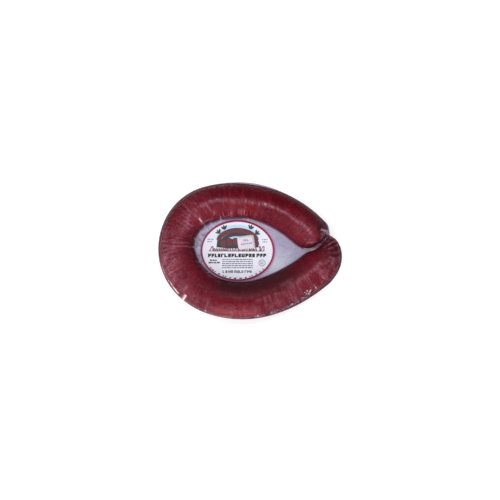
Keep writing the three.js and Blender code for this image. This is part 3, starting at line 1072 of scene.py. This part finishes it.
def lettering(span, y, height, weight, seed):
    """A row of made-up letters: uprights and short level bars that only look like type."""
    rng = random.Random(seed)
    shapes, (x, x1) = [], span
    while x < x1 - 0.5 * height:
        width = height * rng.uniform(0.66, 0.9)
        low, high = y - height / 2, y + height / 2
        shapes.append(bar(x, low, x + weight, high))
        level = rng.choice((low, high - weight * 0.8, y - weight * 0.4))
        shapes.append(bar(x + weight, level, x + width, level + weight * 0.8))
        if rng.random() < 0.65:
            reach = rng.choice((low, y - weight * 0.4))
            shapes.append(bar(x + width - weight, reach, x + width, high))
        x += width + 0.13 * height
        if rng.random() < 0.17:
            x += 0.3 * height
    return shapes


def small_lines(rows, height, seed):
    """Rows of dashes for words too small to read: centre, half width and place of each row."""
    rng = random.Random(seed)
    shapes = []
    for centre, half, y in rows:
        x = centre - half
        while x < centre + half - 0.6:
            word = min(rng.uniform(1.2, 4.2), centre + half - x)
            shapes.append(bar(x, y - height / 2, x + word, y + height / 2))
            x += word + 0.7
    return shapes


def script(span, y, seed):
    """A flowing pen line of slanted strokes and loops, some tall, that spells nothing."""
    rng = random.Random(seed)
    shapes, (x0, x1) = [], span
    x = x0
    while x < x1 - 3:
        tall = rng.random() < 0.18 or x == x0
        high = 5.6 if tall else 2.9
        wide = 4.6 if tall else rng.uniform(2.4, 3.3)
        kind = rng.randrange(3)
        share, start = (0.8 if kind == 1 else 1.0), (math.pi if kind == 2 else 0.3)
        path = []
        for j in range(15):
            turn = 2 * math.pi * (j / 14) * share + start
            rise = 0.5 - 0.5 * math.cos(turn)
            across = wide * (0.5 - 0.42 * math.cos(turn * 0.5 + 0.2))
            path.append((x + across + 0.25 * high * rise, y + high * rise))
        shapes += band(path, [1.5 - 0.7 * abs(math.sin(0.5 * j)) for j in range(15)])
        foot = [(x - 0.4, y - 0.3), (x + wide * 0.9, y - 0.3), (x + wide, y + 0.6), (x - 0.2, y + 0.5)]
        shapes.append(foot)
        x += wide * (1.25 if rng.random() < 0.12 else 0.96)
    return shapes


INKS = {  # two close display colours of each ink
    "crimson": ((134, 0, 72), (120, 0, 62)),
    "wine": ((118, 14, 48), (98, 12, 40)),
    "black": ((18, 16, 26), (30, 26, 38)),
    "grey": ((88, 90, 112), (108, 108, 128)),
    "sky": ((168, 198, 222), (188, 210, 228)),
    "bark": ((50, 34, 42), (38, 28, 38)),
    "cut": ((98, 30, 42), (80, 24, 36)),
    "leaf": ((46, 54, 50), (34, 40, 42)),
}
BORDER_WIDTH = 2.3  # places below are from the label's middle
SLICES = [(-17, 9), (-9.5, 10), (-2, 10.4), (21, 8.6)]
SPRIGS = [(-21, 21, 2.3), (-15, 25.5, 1.9), (15, 26, 1.2), (21.5, 20, 0.7)]  # place and lean
STAMP = (28.9, -14.7)


def picture():
    """A ring with slices and leaves on a blue field: name, shapes, ink and height of each print."""
    arch = [(x, 31.0 * math.sqrt(1 - (x / 34.5) ** 2)) for x in range(24, -25, -2)]
    yield "print_sky", [[(-25, 12), (25, 12)] + arch], "sky", 0.02
    board = [(-25, 4), (-12, 2.6), (12, 2.6), (25, 4), (24, 12.5), (10, 14), (-10, 14), (-24, 12.5)]
    yield "print_board", [board], "bark", 0.03
    angles = np.linspace(0.1, math.pi - 0.1, 22)
    loop = [(22.5 * math.cos(a), 11 + 13.5 * math.sin(a)) for a in angles]
    yield "print_loop", even_band(loop, 5.5), "cut", 0.04
    shade = [(17.5 * math.cos(a), 10 + 9.5 * math.sin(a)) for a in angles]
    yield "print_shade", even_band(shade, 4.5), "bark", 0.03
    yield "print_rind", [oval(x, y, 4.4, 5.2, count=24, turn=0.2) for x, y in SLICES], "bark", 0.05
    yield "print_slices", [oval(x, y, 3.5, 4.3, count=24, turn=0.2) for x, y in SLICES], "cut", 0.06
    leaves = []
    for x, y, lean in SPRIGS:
        for a in (lean - 0.7, lean, lean + 0.7):
            middle = (x + 2.4 * math.cos(a), y + 2.4 * math.sin(a))
            leaves.append(oval(*middle, 3, 1.1, count=16, turn=a))
    yield "print_leaves", leaves, "leaf", 0.05


def words():
    """Pen strokes, made-up letters and dashes: name, shapes, ink and height of each print."""
    yield "print_script", script((-33.5, 34), y=-0.6, seed=8), "wine", 0.08
    yield "print_title", lettering((-34.8, 35.2), y=-5.8, height=4.4, weight=1.75, seed=27), "black", 0.06
    lines = [(0, 18, -10.6 - 2.45 * k) for k in range(5)]
    yield "print_lines", small_lines(lines, height=1.25, seed=4), "grey", 0.04
    beside = [(-28.3, 4.2, -11.6), (-27.6, 6.6, -14.4)]
    yield "print_block", small_lines(beside, height=1.7, seed=9), "black", 0.04
    yield "print_weight", lettering((-17.5, 17.5), y=-25.2, height=3.1, weight=0.95, seed=31), "black", 0.04
    x, y = STAMP
    marks = hoop(x, y, 3.7, 3.7, count=32, width=0.7)
    marks += small_lines([(x, 2.4, y + 1.1), (x, 2.4, y - 1.1)], height=0.9, seed=2)
    corners = [(-32, 3.6, 13.6), (-32.5, 3.2, 10.8), (32.2, 3.2, 13.2), (32.4, 2.8, 10.4)]
    marks += small_lines(corners, height=0.95, seed=6)
    yield "print_marks", marks, "grey", 0.04


def foot_line():
    """Dashes along an arc beside the lower border."""
    rng = random.Random(17)
    shapes, (a, last) = [], (-2.5, -0.64)
    while a < last:
        b = a + rng.uniform(0.03, 0.08)
        arc = [(40.2 * math.cos(t), 33.3 * math.sin(t)) for t in (a, (a + b) / 2, b)]
        shapes += even_band(arc, 1.5)
        a = b + rng.choice((0.03, 0.03, 0.09))
    return shapes


def make_print():
    inks = {name: paper_material("ink_" + name, *colours) for name, colours in INKS.items()}
    rx, ry = (size - BORDER_WIDTH / 2 for size in LABEL_SIZE)
    border = ("print_border", hoop(0, 0, rx, ry, count=120, width=BORDER_WIDTH), "crimson", 0.02)
    foot = ("print_foot", foot_line(), "black", 0.04)
    for name, shapes, ink, lift in (border, *picture(), *words(), foot):
        printed(name, shapes, inks[ink], lift, on_label)


STICKER = (-4.6, 9.4)  # its middle
STICKER_TURN = math.radians(8)
STICKER_HALF = (10, 8)  # half width and half height
STICKER_TOP = LABEL_TOP + 0.28
STICKER_PAPER = 0.22


def on_sticker(x, y):
    """Plan position and height of a place on the sticker's paper, which lifts at its sides."""
    px, py = turned(x, y, STICKER_TURN)
    return (STICKER[0] + px, STICKER[1] + py), STICKER_TOP + 0.25 * (abs(x) / STICKER_HALF[0]) ** 4


def make_sticker():
    squareness = 9
    outline = []
    for i in range(72):
        a = 2 * math.pi * i / 72
        c, s = math.cos(a), math.sin(a)
        reach = (abs(c) ** squareness + abs(s) ** squareness) ** (-1 / squareness)
        outline.append((STICKER_HALF[0] * reach * c, STICKER_HALF[1] * reach * s))
    mesh = paper_mesh("price_sticker", outline, (0.33, 0.66, 1), STICKER_PAPER, on_sticker)
    material = paper_material("price_paper", (220, 213, 224), (210, 203, 216), 0.5)
    obj = new_object("price_paper", mesh, material)
    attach(obj, "root")
    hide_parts("price_sticker")
    ink = paper_material("ink_price", (84, 78, 100), (104, 98, 118))
    digits = lettering((-2.6, 4.4), y=2.4, height=2.4, weight=0.6, seed=3)
    digits += lettering((-6.2, 7.0), y=-1.8, height=1.5, weight=0.5, seed=8)
    printed("print_price", digits, ink, 0.02, on_sticker)


# ---- stage, light and camera

FLOOR_HALF = 2500
FLOOR_DROP = 0.4  # below the part's underside

LIGHTS = [  # name, place, size, power and colour, in metres and watts
    ("front", (-0.3, -1.3, 0.85), (2.2, 1.5), 25, (1, 0.985, 0.985)),
    ("strip", (0.0, 0.20, 1.25), (1.6, 0.09), 9.6, (0.97, 0.98, 1)),
    ("left", (-1.25, 0.1, 0.7), (1.1, 0.8), 4.5, (0.96, 0.97, 1)),
]
LIGHT_TARGET = (0, 0, 0.02)

PHOTO_PIXELS = 500
MM_PER_PIXEL = 1.18
CAMERA_TARGET = (0.0, 0.0002, 0.0208)
CAMERA_ELEVATION = math.radians(80)
LENS = 100
SENSOR = 36


def make_stage():
    corners = [(x, y, 0) for x, y in bar(-FLOOR_HALF, -FLOOR_HALF, FLOOR_HALF, FLOOR_HALF)]
    mesh = mesh_from("floor", corners, [(0, 1, 2, 3)], smooth=False)
    n = Nodes("floor")
    cloud = n.noise(n.object_place(), 30.0)
    colour = n.mix(cloud, (0.68, 0.685, 0.69, 1), (0.72, 0.722, 0.725, 1))
    n.surface({
        "Base Color": colour,
        "Emission Color": colour,
        "Emission Strength": 0.75,
        "Roughness": 0.7,
        "Specular IOR Level": 0.1,
    })
    floor = new_object("floor", mesh, n.material)
    floor.location.z = -FLOOR_DROP * MM


def add_facing(name, data, place, target):
    """A lamp or camera at a place, turned to look at a target."""
    obj = bpy.data.objects.new(name, data)
    obj.location = place
    obj.rotation_euler = (Vector(target) - Vector(place)).to_track_quat("-Z", "Y").to_euler()
    bpy.context.scene.collection.objects.link(obj)
    return obj


def make_lights():
    world = bpy.data.worlds.new("world")
    bpy.context.scene.world = world
    world.use_nodes = True
    sky = world.node_tree.nodes["Background"]
    sky.inputs["Color"].default_value = (0.95, 0.96, 1.0, 1)
    sky.inputs["Strength"].default_value = 0.2
    for name, place, size, power, colour in LIGHTS:
        light = bpy.data.lights.new(name, "AREA")
        light.shape = "RECTANGLE"
        light.size, light.size_y = size
        light.energy = power
        light.color = colour
        add_facing(name, light, place, LIGHT_TARGET)


def make_camera():
    camera = bpy.data.cameras.new("camera")
    camera.lens = LENS
    camera.sensor_width = SENSOR
    camera.clip_start, camera.clip_end = 0.05, 20
    distance = PHOTO_PIXELS * MM_PER_PIXEL * MM * LENS / SENSOR
    back = Vector((0, -math.cos(CAMERA_ELEVATION), math.sin(CAMERA_ELEVATION)))
    place = Vector(CAMERA_TARGET) + back * distance
    bpy.context.scene.camera = add_facing("camera", camera, place, CAMERA_TARGET)
    view = bpy.context.scene.view_settings
    view.view_transform = "Standard"
    view.look = "None"
    view.exposure = 0.0


make_meat()
make_film()
make_seams()
make_label()
make_print()
make_sticker()
make_stage()
make_lights()
make_camera()
